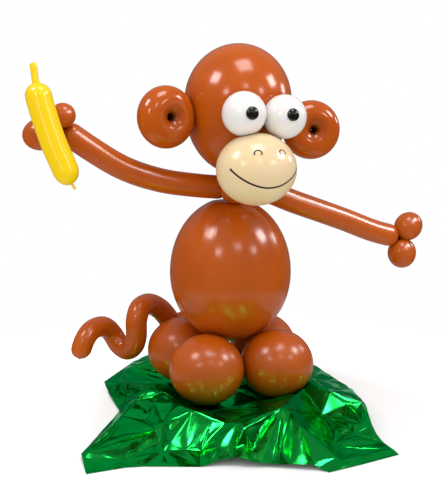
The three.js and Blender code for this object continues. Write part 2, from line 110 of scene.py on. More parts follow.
def flat_between(a, b):
    """The flat where two round balloons press on each other: square to the line between their
    hearts, where their skins would cross. Gives its normal, from the first, and a point on it."""
    apart = np.linalg.norm(b.heart - a.heart)
    normal = (b.heart - a.heart) / apart
    from_a = (apart ** 2 + a.reach(normal) ** 2 - b.reach(-normal) ** 2) / (2 * apart)
    return normal, a.heart + normal * from_a


def flats_between(balloon, others):
    """The flats that other round balloons press into this one."""
    return [flat_between(balloon, other) for other in others]


def turned(flat):
    """The same flat, seen from its other side."""
    normal, middle = flat
    return -normal, middle


def press(points, hearts, flats):
    """Presses a skin against flats. A point keeps its direction from its heart, and its length
    becomes the soft minimum of itself and of the way to the nearest flat, less half the gap."""
    if not flats:
        return points
    offset = points - hearts
    length = np.linalg.norm(offset, axis=-1)
    direction = offset / length[..., None]
    room = np.full(length.shape, 1.0)
    for normal, middle in flats:
        along = direction @ normal
        depth = (middle - hearts) @ normal - GAP / 2
        room = np.where(along > EDGE_ON, np.minimum(room, depth / np.maximum(along, EDGE_ON)), room)
    least = np.minimum(length, room)
    pressed = least - ROUNDING * np.log1p(np.exp(-np.abs(length - room) / ROUNDING))
    return hearts + direction * pressed[..., None]


def full_turn(count):
    """So many angles, evenly round a circle."""
    return np.linspace(0, 2 * np.pi, count, endpoint=False)


def blown(balloon, flats=(), columns=120, rows=90):
    """A round balloon's skin as a grid: half an ellipse, from the pole behind to the pole ahead,
    turned about the axis, then pressed against the flats."""
    side = unit(np.cross(balloon.axis, (0.3, 1.0, 0.1)))
    other = np.cross(balloon.axis, side)
    turn = full_turn(columns)[None, :, None]
    climb = np.linspace(0, np.pi, rows + 1)[:, None, None]
    height = -np.cos(climb)
    semi = np.where(height > 0, balloon.ahead, balloon.behind)
    radius = balloon.across * np.sin(climb)
    points = radius * (np.cos(turn) * side + np.sin(turn) * other) + semi * height * balloon.axis
    return press(balloon.heart + points, balloon.heart, flats)


def shell(grid):
    """Vertices and faces of a grid whose columns close on themselves, and whose first and last
    rows are each one point, a pole."""
    rows, columns = grid.shape[:2]
    vertices = np.vstack([grid[0, :1], grid[1:-1].reshape(-1, 3), grid[-1, :1]])
    here = np.arange(columns)
    after = (here + 1) % columns
    start = 1 + columns * np.arange(rows - 3)[:, None]
    corners = [start + here, start + after, start + columns + after, start + columns + here]
    quads = np.stack(corners, axis=-1).reshape(-1, 4)
    last = 1 + columns * (rows - 3)
    pole = len(vertices) - 1
    first_fan = np.stack([np.zeros_like(here), 1 + after, 1 + here], axis=-1)
    last_fan = np.stack([np.full_like(here, pole), last + here, last + after], axis=-1)
    return vertices, quads.tolist() + first_fan.tolist() + last_fan.tolist()


def new_object(name, vertices, faces):
    """A mesh object in the scene, smoothly shaded."""
    mesh = bpy.data.meshes.new(name)
    mesh.from_pydata(vertices.tolist(), [], faces)
    mesh.shade_smooth()
    piece = bpy.data.objects.new(name, mesh)
    bpy.context.scene.collection.objects.link(piece)
    return piece


def make_piece(name, shells, gather_and_shade_spots, radius, dullness=0.0):
    """One mesh object from closed shells. Its stored attribute is 1 at the given points, where the
    latex is gathered at a knot or twist, and where painted shade darkens an ear's dimple or the
    muzzle's underside, and falls off over the radius. Dullness is how soft its gloss is."""
    vertices = np.vstack([points for points, corners in shells])
    faces = []
    shift = 0
    for points, corners in shells:
        faces += [[c + shift for c in face] for face in corners]
        shift += len(points)
    piece = new_object(name, vertices, faces)
    away = np.min([np.linalg.norm(vertices - np.array(g), axis=1) for g in gather_and_shade_spots], axis=0)
    gather_and_shade = np.exp(-((away / radius) ** 2))
    for label, values in {"gather_and_shade": gather_and_shade, "dullness": dullness + 0 * gather_and_shade}.items():
        attribute = piece.data.attributes.new(label, "FLOAT", "POINT")
        attribute.data.foreach_set("value", values.astype(np.float32))
    return piece


def put_in_place(piece, node, material):
    """Gives a piece its material, and puts it in place of the plain solid of that node."""
    piece.data.materials.append(material)
    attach(piece, "root")
    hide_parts(node)


class Shade:
    """One output of a material's nodes. Python's operators on it add Math nodes."""

    def __init__(self, tree, socket=None):
        self.tree = tree
        self.socket = socket

    def node(self, kind, settings, values, output=0):
        """Adds a node, makes its settings, then fills its sockets with values or links."""
        made = self.tree.nodes.new(kind)
        for name, value in settings.items():
            setattr(made, name, value)
        for key, value in values.items():
            if isinstance(value, Shade):
                self.tree.links.new(value.socket, made.inputs[key])
            else:
                made.inputs[key].default_value = value
        return Shade(self.tree, made.outputs[output])

    def maths(self, operation, *values):
        """One Math node on numbers or outputs."""
        return self.node("ShaderNodeMath", {"operation": operation}, dict(enumerate(values)))

    def __add__(self, other):
        return self.maths("ADD", self, other)

    def __sub__(self, other):
        return self.maths("SUBTRACT", self, other)

    def __mul__(self, other):
        return self.maths("MULTIPLY", self, other)

    def __truediv__(self, other):
        return self.maths("DIVIDE", self, other)

    def __rsub__(self, other):
        return self.maths("SUBTRACT", other, self)

    __radd__ = __add__
    __rmul__ = __mul__

    def step(self, low, high):
        """0 below low and 1 above high, with a smooth change between."""
        values = {"Value": self, "From Min": low, "From Max": high}
        return self.node("ShaderNodeMapRange", {"interpolation_type": "SMOOTHSTEP"}, values)

    def mix(self, first, second):
        """A colour between two, by this factor."""
        values = {0: self, 6: first, 7: second}
        return self.node("ShaderNodeMix", {"data_type": "RGBA"}, values, output=2)


def new_material(name):
    """An empty material with its Principled shader: gives the material, a start and the shader."""
    material = bpy.data.materials.new(name)
    material.use_nodes = True
    tree = material.node_tree
    return material, Shade(tree), tree.nodes["Principled BSDF"]


def place_in(start):
    """The point's own place in the object, in metres."""
    return start.node("ShaderNodeTexCoord", {}, {}, output="Object")


def stored(start, name):
    """A number that make_piece stored with the mesh."""
    return start.node("ShaderNodeAttribute", {"attribute_name": name}, {}, output=2)


def cloud(start, place, scale, detail=2.0):
    """Soft noise from 0 to 1, with so many features to the metre."""
    values = {"Vector": place, "Scale": scale, "Detail": detail}
    return start.node("ShaderNodeTexNoise", {}, values)


def link(shade, shader, name):
    """Feeds one of the shader's sockets."""
    shade.tree.links.new(shade.socket, shader.inputs[name])


def bumps(shader, height, depth, strength):
    """Feeds the shader's Normal with small bumps, so deep in metres where the height goes to 1."""
    values = {"Strength": strength, "Distance": depth, "Height": height}
    link(height.node("ShaderNodeBump", {}, values), shader, "Normal")


GRAIN_DEPTH = 0.000001
LATEX_IOR = 1.52
GLOW_REACH = 0.012  # how far red light spreads inside the rubber
GLOW_SHARES = (1.0, 0.35, 0.12)  # of that, for red, green and blue


def latex(name, stretched, gathered, knotted_and_shaded, roughness, glow=0.0):
    """Blown latex: thin and even where it is stretched, of a deeper colour where it is gathered towards
    a knot, and darkest at it. The same deeper and darkest colours are also painted shade in the ears'
    dimples and under the muzzle. Cloudy thickness, faint dust in the gloss, a fine grain."""
    material, start, shader = new_material(name)
    place = place_in(start)
    gather_and_shade = stored(start, "gather_and_shade")
    cloudy = cloud(start, place, 14.0)
    streaks = cloud(start, place, 95.0, detail=3.0)
    # Deeper, then darkest towards the stored points: gathered latex at knots and twists, and painted
    # shade in the ears' dimples and on the muzzle's underside.
    depth = gather_and_shade * 0.85 + cloudy.step(0.35, 0.75) * 0.16
    colour = depth.mix((*stretched, 1), (*gathered, 1))
    link(gather_and_shade.step(0.45, 0.85).mix(colour, (*knotted_and_shaded, 1)), shader, "Base Color")
    dusty = streaks.step(0.3, 0.8) * 0.006 + cloudy * 0.012
    dull = dusty + stored(start, "dullness") + gather_and_shade * 0.12 + roughness
    link(dull, shader, "Roughness")
    bumps(shader, cloud(start, place, 1400.0, detail=1.0), GRAIN_DEPTH, strength=0.3)
    shader.inputs["IOR"].default_value = LATEX_IOR
    shader.inputs["Subsurface Weight"].default_value = glow
    shader.inputs["Subsurface Radius"].default_value = GLOW_SHARES
    shader.inputs["Subsurface Scale"].default_value = GLOW_REACH
    return material


# The thick and knot browns colour gathered latex at knots and twists, and are also painted shade, deep
# and almost black, in the ears' dimples.
BROWN_THIN = (0.49, 0.084, 0.002)
BROWN_THICK_AND_DIMPLE_SHADE = (0.16, 0.018, 0.0005)
BROWN_KNOT_AND_DIMPLE_SHADE = (0.02, 0.002, 0.0002)
brown_latex = latex("brown_latex", BROWN_THIN, BROWN_THICK_AND_DIMPLE_SHADE, BROWN_KNOT_AND_DIMPLE_SHADE, roughness=0.13)

# The arms' spines come here, because the body, the head and the neck bubble all give way to them.
TUBE_RADIUS = 0.024
NECK = np.array((0, 0, 0.427))
TWIST_RIGHT = (-0.3385, 0, 0.549)
TWIST_LEFT = (0.373, -0.050, 0.312)


def travelled(path):
    """How far along the path each of its points is."""
    return np.append(0, np.cumsum(np.linalg.norm(np.diff(path, axis=0), axis=1)))


def at_stops(values, travel, stops):
    """Places or headings that are known all along a path, as they are at certain distances."""
    return np.stack([np.interp(stops, travel, values[:, k]) for k in range(3)], axis=-1)


def smooth_path(stations, count):
    """A smooth line through the stations: a centripetal Catmull-Rom spline, by Neville's scheme
    of mixes between four stations in turn, then cut into equal steps, so many points in all."""
    stations = np.array(stations, float)
    before = 2 * stations[0] - stations[1]
    beyond = 2 * stations[-1] - stations[-2]
    line = np.vstack([before, stations, beyond])
    clock = np.append(0, np.cumsum(np.sqrt(np.linalg.norm(np.diff(line, axis=0), axis=1))))
    time = np.linspace(clock[1], clock[-2], 800 * len(stations))
    first = np.clip(np.searchsorted(clock, time, side="right") - 2, 0, len(line) - 4)
    p = [line[first + k] for k in range(4)]
    t = [clock[first + k] for k in range(4)]

    def mixed(a, b, start, end):
        """The mix of two lines that moves from the first to the second between two times."""
        return a + (b - a) * ((time - start) / (end - start))[:, None]

    a = [mixed(p[k], p[k + 1], t[k], t[k + 1]) for k in range(3)]
    b = [mixed(a[k], a[k + 1], t[k], t[k + 2]) for k in range(2)]
    path = mixed(b[0], b[1], t[1], t[2])
    travel = travelled(path)
    return at_stops(path, travel, np.linspace(0, travel[-1], count))


arm_right_path = smooth_path([
    (-0.002, 0, 0.427),
    (-0.072, 0, 0.434),
    (-0.147, 0, 0.4465),
    (-0.220, 0, 0.472),
    (-0.285, 0, 0.511),
    TWIST_RIGHT,
], 4000)
arm_left_path = smooth_path([
    (0.002, 0, 0.425),
    (0.069, -0.009, 0.421),
    (0.138, -0.0185, 0.395),
    (0.245, -0.033, 0.356),
    (0.319, -0.043, 0.327),
    TWIST_LEFT,
], 4000)


def flats_against(balloon, path):
    """The flats on a round balloon that gives way to a long one lying against it: one from every
    60th point of the path that is near the place where they touch."""
    near = path[np.argmin(np.linalg.norm(path - balloon.heart, axis=1))]
    sparse = path[::60]
    close = sparse[np.linalg.norm(sparse - near, axis=1) < 3 * TUBE_RADIUS]
    normals = unit(close - balloon.heart)
    return list(zip(normals, close - normals * (TUBE_RADIUS + GAP / 2)))


def beside_arms(balloon):
    """The flats on a round balloon that gives way to both arms."""
    return flats_against(balloon, arm_right_path) + flats_against(balloon, arm_left_path)


neck_bubble = sphere((-0.003, -0.035, 0.425), 0.028)
bubble_on_body = flat_between(neck_bubble, body)

body_flats = flats_between(body, base_balls.values())
body_flats += [turned(bubble_on_body)] + beside_arms(body)

RIB_HEIGHT = 0.00028
RIB_REACH = 0.9  # radians down from the knot


def ribbed(grid, balloon):
    """Fine ribs run down the skin from the knot at its top, where the stretched rubber is pulled
    together: two waves round the axis, which fade with the distance below the knot."""
    rows, columns = grid.shape[:2]
    turn = full_turn(columns)[None, :]
    climb = np.linspace(0, np.pi, rows)[:, None]
    wave = np.sin(23 * turn + 1.5 * np.sin(3 * turn))
    wave = wave + 0.7 * np.sin(37 * turn + 2 * np.sin(5 * turn))
    fade = np.sin(climb) * np.exp(-((np.pi - climb) / RIB_REACH) ** 2)
    outward = unit(grid - balloon.heart)
    return grid + (RIB_HEIGHT * wave * fade)[..., None] * outward


body_skin = shell(ribbed(blown(body, body_flats, columns=288, rows=144), body))
body_knot = body.heart + body.axis * body.ahead
body_piece = make_piece("body_balloon", [body_skin], [body_knot], radius=0.022, dullness=0.06)
put_in_place(body_piece, "body", brown_latex)


# The base: four round brown balloons tied in a cluster by their knots, which meet in the middle.
# Each presses on its neighbours and on the body, and stands on a small flat on the foil.
FOIL_TOP = 0.002
floor_flat = (np.array((0, 0, -1.0)), np.array((0, 0, FOIL_TOP + GAP / 2)))
cluster_knot = (0, 0, BASE_HEIGHT)

TAIL_TWIST = (-0.064, 0.177, 0.094)
tail_path = smooth_path([
    TAIL_TWIST,
    (-0.0795, 0.172, 0.118),
    (-0.090, 0.168, 0.132),
    (-0.102, 0.164, 0.145),
    (-0.132, 0.146, 0.1625),
    (-0.159, 0.123, 0.159),
    (-0.170, 0.112, 0.136),
    (-0.171, 0.112, 0.102),
    (-0.1755, 0.121, 0.079),
    (-0.186, 0.138, 0.067),
    (-0.1995, 0.155, 0.076),
    (-0.2085, 0.164, 0.0935),
    (-0.221, 0.160, 0.110),
    (-0.240, 0.144, 0.122),
    (-0.267, 0.123, 0.120),
    (-0.283, 0.112, 0.105),
    (-0.292, 0.108, 0.085),
    (-0.295, 0.108, 0.0665),
], 5000)
tail_root_path = smooth_path([
    TAIL_TWIST,
    (-0.044, 0.163, 0.111),
    (0, 0.135, 0.097),
    (0.004, 0.113, 0.088),
], 2000)

for node, ball in base_balls.items():
    others = [other for other in base_balls.values() if other is not ball]
    flats = flats_between(ball, others + [body]) + [floor_flat]
    flats += flats_against(ball, tail_root_path)
    skin = shell(blown(ball, flats, columns=144, rows=108))
    piece = make_piece(node + "_balloon", [skin], [cluster_knot], radius=0.03, dullness=0.12)
    put_in_place(piece, node, brown_latex)


# The tail: one long brown balloon, wound round a stick so that it stays a corkscrew. Its first
# bubble is tied in between the base balloons, and its far end has the balloon's small dark nipple.
TAIL_TIP_RADIUS = 0.0215
TWIST_RADIUS = 0.005
NIPPLE_RADIUS = 0.0022
NIPPLE_SHIFT = (-0.001, -0.001, 0.0003)  # from the tail's last point to the nipple's middle


def long_skin(path, radii, stops, columns, side, flats=()):
    """A long balloon: circles of the given radii round the path, at the given shares of its
    length. The side vector keeps the circles from turning. The ends are points."""
    travel = travelled(path)
    stops = np.array(stops) * travel[-1]
    spine = at_stops(path, travel, stops)
    tangent = unit(at_stops(unit(np.gradient(path, axis=0)), travel, stops))
    across = unit(np.cross(tangent, side))
    over = np.cross(tangent, across)
    turn = full_turn(columns)[None, :, None]
    circle = np.cos(turn) * across[:, None] + np.sin(turn) * over[:, None]
    points = spine[:, None] + np.array(radii)[:, None, None] * circle
    hearts = at_stops(path, travel, np.clip(stops, TUBE_RADIUS, travel[-1] - TUBE_RADIUS))
    return press(points, hearts[:, None] + 0 * points, flats)


def tube(path, near_radius, far_radius, rows, side, flats=(), columns=72):
    """A long balloon with round ends: quarter circles at both ends, an even taper between."""
    length = travelled(path)[-1]
    cap = np.linspace(0, np.pi / 2, 24)
    middle = np.linspace(near_radius, length - far_radius, rows)[1:-1]
    taper = near_radius + (far_radius - near_radius) * middle / length
    near = near_radius * np.sin(cap), near_radius * (1 - np.cos(cap))
    far = far_radius * np.sin(cap[::-1]), length - far_radius * (1 - np.cos(cap[::-1]))
    radii = np.concatenate([near[0], taper, far[0]])
    stops = np.concatenate([near[1], middle, far[1]]) / length
    return shell(long_skin(path, radii, stops, columns, side, flats))


def small_ball(place, radius):
    """A bead of gathered rubber at a twist or an end."""
    return shell(blown(sphere(place, radius), columns=24, rows=16))


tail_tip = tail_path[-1]
tail_skins = [
    tube(tail_path, TUBE_RADIUS, TAIL_TIP_RADIUS, rows=380, side=(0.3, 1, 0)),
    tube(tail_root_path, TUBE_RADIUS, TUBE_RADIUS, rows=80, side=(0, 0, 1)),
    small_ball(TAIL_TWIST, TWIST_RADIUS),
    small_ball(tail_tip + NIPPLE_SHIFT, NIPPLE_RADIUS),
]
tail_piece = make_piece("tail_balloon", tail_skins, [TAIL_TWIST, tail_tip], radius=0.006, dullness=0.06)
put_in_place(tail_piece, "tail", brown_latex)


# The arms: one long brown balloon each, tied together at the neck. The far end of each is twisted
# off into two bubbles, the hand, and the right one's near end into the bubble that locks the neck.
arms_meet = (np.array((1.0, 0, 0)), NECK)

thumb_right = sphere((-0.3385, -0.022, 0.5735), 0.023)
palm_right = RoundBalloon((-0.374, 0.004, 0.539), (1, 0, 0.2), across=0.0305, ahead=0.037)
thumb_left = RoundBalloon((0.3976, -0.0534, 0.335), (0.7, 0, 0.7), across=0.0295, ahead=0.032)
palm_left = RoundBalloon((0.3848, -0.0517, 0.277), (0, 0, 1), across=0.0305, ahead=0.033)

banana_path = smooth_path([
    (-0.3945, -0.050, 0.667),
    (-0.3905, -0.050, 0.630),
    (-0.385, -0.050, 0.6005),
    (-0.376, -0.050, 0.567),
    (-0.363, -0.050, 0.5255),
    (-0.350, -0.050, 0.493),
    (-0.3325, -0.050, 0.451),
    (-0.325, -0.050, 0.438),
], 3000)


def arm_tube(path, flat):
    """An arm: an even tube whose near end presses on the other arm's."""
    return tube(path, TUBE_RADIUS, TUBE_RADIUS, rows=200, side=(0, 0, 1), flats=[flat])


def neck_into(bubble, place):
    """The twisted neck of rubber that leads from a twist into a bubble."""
    way = np.array(place) + np.linspace(0, 0.7, 40)[:, None] * (bubble.heart - np.array(place))
    return tube(way, TWIST_RADIUS, TWIST_RADIUS, rows=12, side=(0.31, 0.2, 1), columns=24)


right_skins = [
    arm_tube(arm_right_path, arms_meet),
    shell(blown(thumb_right, flats_against(thumb_right, banana_path))),
    shell(blown(palm_right, flats_against(palm_right, banana_path))),
    shell(blown(neck_bubble, [bubble_on_body] + beside_arms(neck_bubble))),
    neck_into(thumb_right, TWIST_RIGHT),
    neck_into(palm_right, TWIST_RIGHT),
    neck_into(neck_bubble, (-0.008, -0.006, 0.427)),
]
BUBBLE_FRONT = (-0.012, -0.045, 0.417)
right_gathers = [TWIST_RIGHT, NECK, BUBBLE_FRONT]
right_arm = make_piece("right_arm_balloon", right_skins, right_gathers, radius=0.012, dullness=0.09)
put_in_place(right_arm, "right_arm", brown_latex)

left_skins = [
    arm_tube(arm_left_path, turned(arms_meet)),
    shell(blown(thumb_left)),
    shell(blown(palm_left)),
    neck_into(thumb_left, TWIST_LEFT),
    neck_into(palm_left, TWIST_LEFT),
]
left_arm = make_piece("left_arm_balloon", left_skins, [TWIST_LEFT, NECK], radius=0.012, dullness=0.09)
put_in_place(left_arm, "left_arm", brown_latex)


# The banana: a bright yellow long balloon, blown short and bent a little. Its stem is the end
# that was left unblown, and its knot hangs below, with the rolled lip cut short.
BANANA_RADIUS = 0.024
STEM_RADIUS = 0.0065
STEM_LENGTH = 0.036
KNOT_LENGTH = 0.012
KNOT_RADIUS = 0.0023
KNOT_FLARE = 0.0009  # how much wider the knot is at its lip

banana_length = travelled(banana_path)[-1]


def banana_skin():
    """Radii along the banana: a stem with a round tip, a full body that rises and falls as a
    quarter circle at each end, and a short knot."""
    stem_stops = np.linspace(0, STEM_LENGTH, 30)
    tip = np.clip(stem_stops / STEM_RADIUS, 0, 1)
    stem_radii = STEM_RADIUS * np.sqrt(1 - (1 - tip) ** 2)
    share = 0.5 - 0.5 * np.cos(np.linspace(0, np.pi, 120))
    fullness = np.minimum(1, np.sin(np.pi * share) * np.where(share < 0.5, 2.6, 2.1))
    body_length = banana_length - STEM_LENGTH - KNOT_LENGTH
    body_stops = STEM_LENGTH + body_length * share
    body_radii = BANANA_RADIUS * np.sqrt(1 - (1 - fullness) ** 2)
    body_radii = np.maximum(body_radii, np.where(share < 0.5, STEM_RADIUS, KNOT_RADIUS))
    knot_stops = np.linspace(banana_length - KNOT_LENGTH, banana_length, 16)[1:]
    knot_share = (knot_stops - knot_stops[0]) / (knot_stops[-1] - knot_stops[0])
    knot_radii = (KNOT_RADIUS + KNOT_FLARE * knot_share) * np.sqrt(1 - knot_share ** 8)
    radii = np.concatenate([stem_radii, body_radii[1:], knot_radii])
    stops = np.concatenate([stem_stops, body_stops[1:], knot_stops]) / banana_length
    radii[0] = 0
    radii[-1] = 0
    return shell(long_skin(banana_path, radii, stops, columns=72, side=(0, 1, 0)))


YELLOW_THIN = (0.93, 0.62, 0.002)
YELLOW_THICK = (0.88, 0.54, 0.0)
yellow_latex = latex("yellow_latex", YELLOW_THIN, YELLOW_THICK, YELLOW_THICK, roughness=0.14)
above_knot = banana_path[-120]
banana = make_piece("banana_balloon", [banana_skin()], [above_knot], radius=0.008, dullness=0.03)
put_in_place(banana, "banana", yellow_latex)


# The head: a large round brown balloon, tied to the neck by its lower end. The muzzle, the eyes
# and the ears are stuck to it, and each presses a shallow flat into it.
EYE_RADIUS = 0.0414
EAR_RING = 0.0305  # from the middle of the ear to the middle of its tube
EAR_TUBE = 0.029

head = RoundBalloon((0.0075, -0.028, 0.600), (6, -28, 172), across=0.1065, ahead=0.113, behind=0.143)
muzzle = RoundBalloon((-0.0047, -0.152, 0.4739), (1, 0, 0), across=0.0678, ahead=0.0771)
eye_right = sphere((-0.0282, -0.147, 0.5764), EYE_RADIUS)
eye_left = sphere((0.0543, -0.147, 0.5708), EYE_RADIUS)
ear_right = sphere((-0.148, -0.049, 0.570), EAR_RING + EAR_TUBE)
ear_left = sphere((0.160, -0.049, 0.544), EAR_RING + EAR_TUBE)

head_flats = flats_between(head, [muzzle, eye_right, eye_left, ear_right, ear_left])
head_skin = shell(blown(head, head_flats + beside_arms(head), columns=192, rows=144))
head_knot = head.heart - head.axis * head.behind
head_piece = make_piece("head_balloon", [head_skin], [head_knot], radius=0.02, dullness=0.05)
put_in_place(head_piece, "head", brown_latex)


# The ears: brown doughnut balloons, so tight that the hole in the middle is a deep dimple. Each
# is turned a little away from facing straight ahead, and pressed to the side of the head.
THROAT = 0.0008  # the radius of what is left of the hole


def ear_skin(ear, turn, flats):
    """A ring of tube: a circle carried round the ear's middle. The inner side of the tube swells
    until it leaves only a narrow throat."""
    around = full_turn(240)[:, None]
    about = full_turn(144)[None, :]
    facing = np.array((-math.sin(turn), math.cos(turn), 0))
    sideways = np.array((math.cos(turn), math.sin(turn), 0))
    upward = np.array((0, 0, 1.0))
    outward = np.cos(around)[..., None] * sideways + np.sin(around)[..., None] * upward
    out = np.maximum(EAR_TUBE * np.cos(about), THROAT - EAR_RING)
    lift = EAR_TUBE * np.sin(about)
    ring = ear.heart + EAR_RING * outward
    points = ring + out[..., None] * outward + lift[..., None] * facing
    grid = press(points, ring + 0 * points, flats)
    rows, columns = grid.shape[:2]
    here = np.arange(columns)
    after = (here + 1) % columns
    start = columns * np.arange(rows)[:, None]
    following = columns * ((np.arange(rows)[:, None] + 1) % rows)
    corners = [start + here, start + after, following + after, following + here]
    return grid.reshape(-1, 3), np.stack(corners, axis=-1).reshape(-1, 4).tolist()


ears = {"ear_right": (ear_right, math.radians(14)), "ear_left": (ear_left, math.radians(-10))}
for node, (ear, turn) in ears.items():
    skin = ear_skin(ear, turn, [turned(flat_between(head, ear))])
    # Painted shade in the dimple: towards the ear's middle the brown turns deeper and then almost
    # black.
    piece = make_piece(node + "_balloon", [skin], [ear.heart], radius=0.031)
    put_in_place(piece, node, brown_latex)


# The muzzle: a cream balloon lying across the face. The smile and the two nostrils are drawn on
# it with a black marker.
SMILE_LOW = -26.2  # degrees above the muzzle's middle, at the centre of the smile
SMILE_RISE = 30.7
SMILE_EASE = -3.0
SMILE_HALF = 1.02  # radians to either side
INK_HALF_WIDTH = 0.0018
INK = (0.008, 0.007, 0.006, 1)
INK_DULLNESS = 0.4
NOSTRIL_TURNS = (math.radians(-18.5), math.radians(24.5))
NOSTRIL_CLIMB = math.radians(28.5)
NOSTRIL_RADIUS = 0.0062
NOSTRIL_FEET = (-0.0035, -0.0028)  # where the arch's ends fade out, from its middle
DOT_RADIUS = 0.0028


def length_of(start, across, up):
    """The length of a way, from its two parts: the root of the sum of their squares."""
    return start.maths("SQRT", across * across + up * up)


def draw_face(start, place):
    """How much ink covers a point of the muzzle. Turn is its angle to the side of straight ahead
    and climb its angle above the middle. The smile's climb is a polynomial in the turn, it ends
    in a dot at each side, and a nostril is an arch, an upper part of a circle."""
    split = start.node("ShaderNodeSeparateXYZ", {}, {0: place})
    x, y, z = [Shade(split.tree, output) for output in split.socket.node.outputs]
    x = (x - muzzle.heart[0]) * (muzzle.across / muzzle.ahead)
    turn = start.maths("ARCTAN2", x, 0 - (y - muzzle.heart[1]))
    climb = start.maths("ARCSINE", (z - muzzle.heart[2]) / muzzle.across)
    size = turn * turn
    smile = size * math.radians(SMILE_RISE) + size * size * math.radians(SMILE_EASE)
    slope = turn * math.radians(2 * SMILE_RISE) + size * turn * math.radians(4 * SMILE_EASE)
    lean = start.maths("SQRT", slope * slope + 1)
    from_smile = start.maths("ABSOLUTE", climb - smile - math.radians(SMILE_LOW)) * muzzle.across / lean
    beyond = start.maths("ABSOLUTE", turn)
    line = 1 - from_smile.step(INK_HALF_WIDTH * 0.7, INK_HALF_WIDTH * 1.3)
    ink = line * (1 - beyond.step(SMILE_HALF, SMILE_HALF + 0.01))
    end_climb = math.radians(SMILE_LOW + SMILE_RISE * SMILE_HALF ** 2 + SMILE_EASE * SMILE_HALF ** 4)
    past_end = (beyond - SMILE_HALF) * muzzle.across * math.cos(end_climb)
    over_end = (climb - end_climb) * muzzle.across
    from_end = length_of(start, past_end, over_end)
    ink = start.maths("MAXIMUM", ink, 1 - from_end.step(DOT_RADIUS * 0.7, DOT_RADIUS))
    for nostril_turn in NOSTRIL_TURNS:
        sideways = (turn - nostril_turn) * muzzle.across * math.cos(NOSTRIL_CLIMB)
        upward = (climb - NOSTRIL_CLIMB) * muzzle.across
        from_arch = start.maths("ABSOLUTE", length_of(start, sideways, upward) - NOSTRIL_RADIUS)
        arch = 1 - from_arch.step(INK_HALF_WIDTH * 0.5, INK_HALF_WIDTH)
        ink = start.maths("MAXIMUM", ink, arch * upward.step(*NOSTRIL_FEET))
    return ink


def mark(material):
    """Lays the drawn face over the latex: where there is ink, the colour is the ink's and the
    gloss is duller."""
    tree = material.node_tree
    shader = tree.nodes["Principled BSDF"]
    start = Shade(tree)
    ink = draw_face(start, place_in(start))
    rubber_colour = Shade(tree, shader.inputs["Base Color"].links[0].from_socket)
    link(ink.mix(rubber_colour, INK), shader, "Base Color")
    rubber_roughness = Shade(tree, shader.inputs["Roughness"].links[0].from_socket)
    link(rubber_roughness + ink * INK_DULLNESS, shader, "Roughness")


# The deeper tan is painted shade and warm bounce light on the muzzle's underside.
CREAM_THIN = (0.80, 0.63, 0.38)
CREAM_UNDERSIDE_SHADE = (0.88, 0.54, 0.26)
cream_latex = latex("cream_latex", CREAM_THIN, CREAM_UNDERSIDE_SHADE, CREAM_UNDERSIDE_SHADE, roughness=0.16, glow=0.35)
mark(cream_latex)

muzzle_flats = flats_between(muzzle, [head, eye_right, eye_left])
muzzle_skin = shell(blown(muzzle, muzzle_flats, columns=144, rows=108))
# Painted shade: the muzzle's underside turns a deeper tan towards this point below it.
below_muzzle_shade = muzzle.heart + np.array((0, 0.03, -0.09))
muzzle_piece = make_piece("muzzle_balloon", [muzzle_skin], [below_muzzle_shade], radius=0.07, dullness=0.05)
put_in_place(muzzle_piece, "muzzle", cream_latex)


# The eyes: two small white balloons, side by side above the muzzle, pressed against it, the head
# and each other.
WHITE_THIN = (0.83, 0.81, 0.79)
WHITE_THICK = (0.70, 0.66, 0.62)
white_latex = latex("white_latex", WHITE_THIN, WHITE_THICK, WHITE_THICK, roughness=0.2, glow=0.5)
eyes = {"eye_right": (eye_right, eye_left), "eye_left": (eye_left, eye_right)}
for node, (eye, other) in eyes.items():
    flats = flats_between(eye, [head, muzzle, other])
    back = eye.heart + eye.across * unit(head.heart - eye.heart)
    piece = make_piece(node + "_balloon", [shell(blown(eye, flats))], [back], radius=0.015)
    put_in_place(piece, node, white_latex)


# The pupils: glossy black domes of rubber, one stuck on the front of each eye. The left one sits
# a little higher up on its eye than the right one.
PUPIL_HEIGHT = 0.007


def pupil_skin(eye, radius, facing):
    """A dome on a ball: an ellipse's lift over the ball, closed below by the ball's own curve."""
    seat = eye.across + 2 * GAP
    edge = math.asin(radius / seat)
    facing = unit(facing)
    side = unit(np.cross(facing, (0, 0, 1)))
    other = np.cross(facing, side)
    out = np.sin(np.linspace(0, np.pi / 2, 25))
    lift = PUPIL_HEIGHT * np.sqrt(1 - out ** 2)
    angle = np.concatenate([edge * out[:-1], edge * out[::-1]])[:, None, None]
    high = seat + np.concatenate([0 * out[:-1], lift[::-1]])[:, None, None]
    turn = full_turn(64)[None, :, None]
    circle = np.cos(turn) * side + np.sin(turn) * other
    return shell(eye.heart + high * (np.sin(angle) * circle + np.cos(angle) * facing))


BLACK_THIN = (0.012, 0.009, 0.009)
BLACK_THICK = (0.004, 0.003, 0.003)
black_latex = latex("black_latex", BLACK_THIN, BLACK_THICK, BLACK_THICK, roughness=0.08)
pupils = {
    "pupil_right": (eye_right, 0.012, (-0.02, -1, 0.02)),
    "pupil_left": (eye_left, 0.0115, (-0.05, -1, 0.09)),
}
for node, (eye, radius, facing) in pupils.items():
    piece = make_piece(node + "_dome", [pupil_skin(eye, radius, facing)], [eye.heart], radius=0.01)
    put_in_place(piece, node, black_latex)


